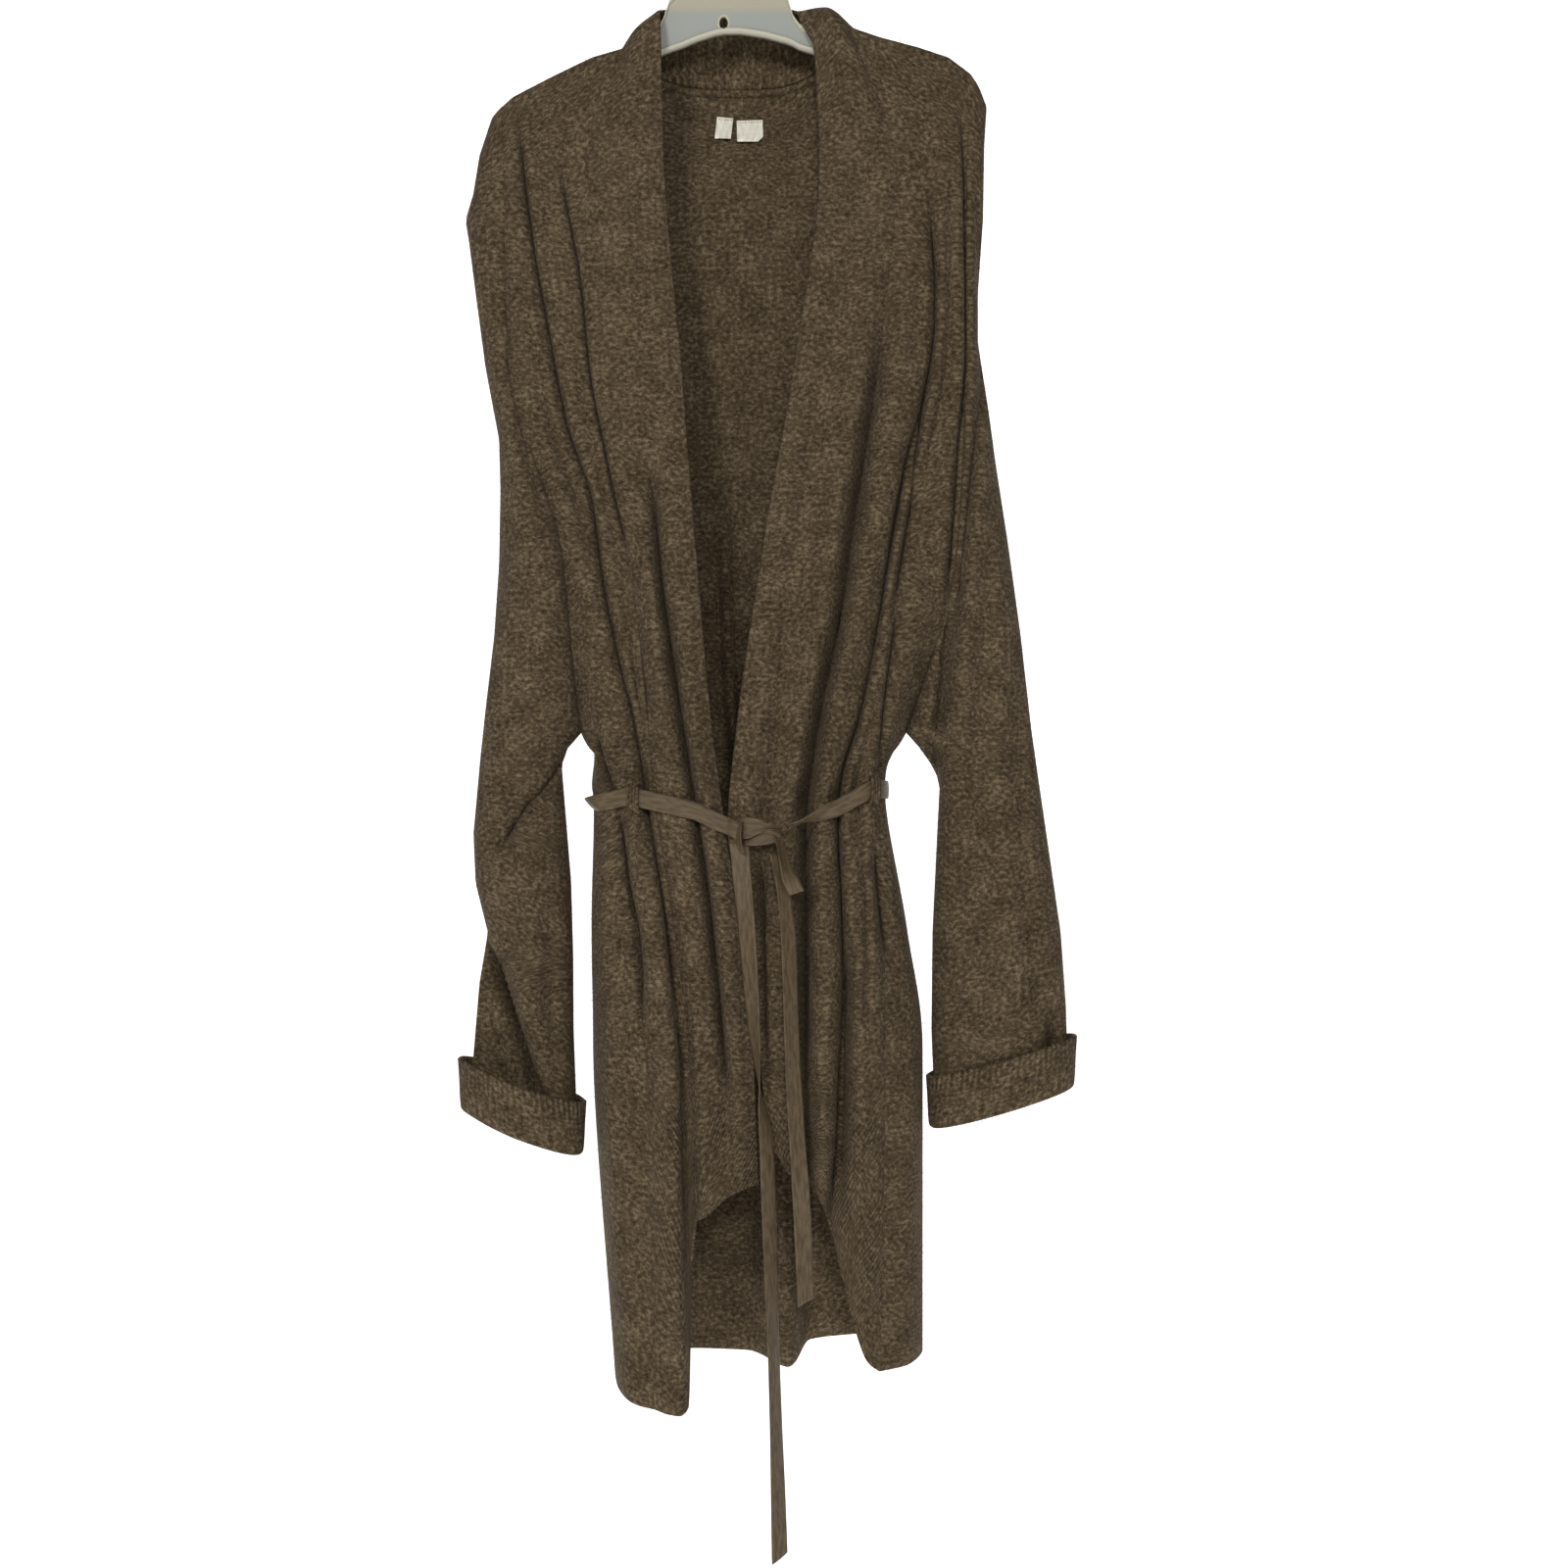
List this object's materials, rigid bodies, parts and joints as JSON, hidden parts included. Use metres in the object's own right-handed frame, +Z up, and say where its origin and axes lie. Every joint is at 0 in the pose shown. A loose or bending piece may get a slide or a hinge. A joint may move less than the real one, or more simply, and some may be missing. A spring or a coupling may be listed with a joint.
{
  "type": "high-low cardigan on a clothes hanger",
  "caption": "Long open knitted cardigan with a shawl band, a high-low hem, turned-back cuffs and a tied ribbon belt, hanging on a moulded hanger.",
  "frame": {"origin": "where the hanger's hook bears on its rod, at the inside top of the hook", "axes": "+X to the right as seen from the front, +Y towards the back of the cardigan, +Z up"},
  "size_m": [0.4878, 0.1662, 1.3311],
  "materials": {
    "knit": "heathered brown-taupe rib and jersey knit, matt with a short nap",
    "ribbon": "taupe grosgrain ribbon with a soft satin sheen",
    "label": "cream woven tape, bare",
    "hanger": "frosted pale grey moulding with a cream rim"
  },
  "bodies": {
    "root": {"back": "knit", "back_skirt": "knit", "front_left": "knit", "front_right": "knit", "collar_band": "knit", "sleeve_left": "knit", "lower_sleeve_left": "knit", "sleeve_right": "knit", "cuff_left": "knit", "cuff_right": "knit", "belt_loop_left": "knit", "belt_loop_right": "knit", "belt_waist": "ribbon", "belt_knot": "ribbon", "belt_ear": "ribbon", "belt_tail_long": "ribbon", "belt_tail_short": "ribbon", "label_size": "label", "label_main": "label", "hanger": "hanger"}
  },
  "joints": []
}
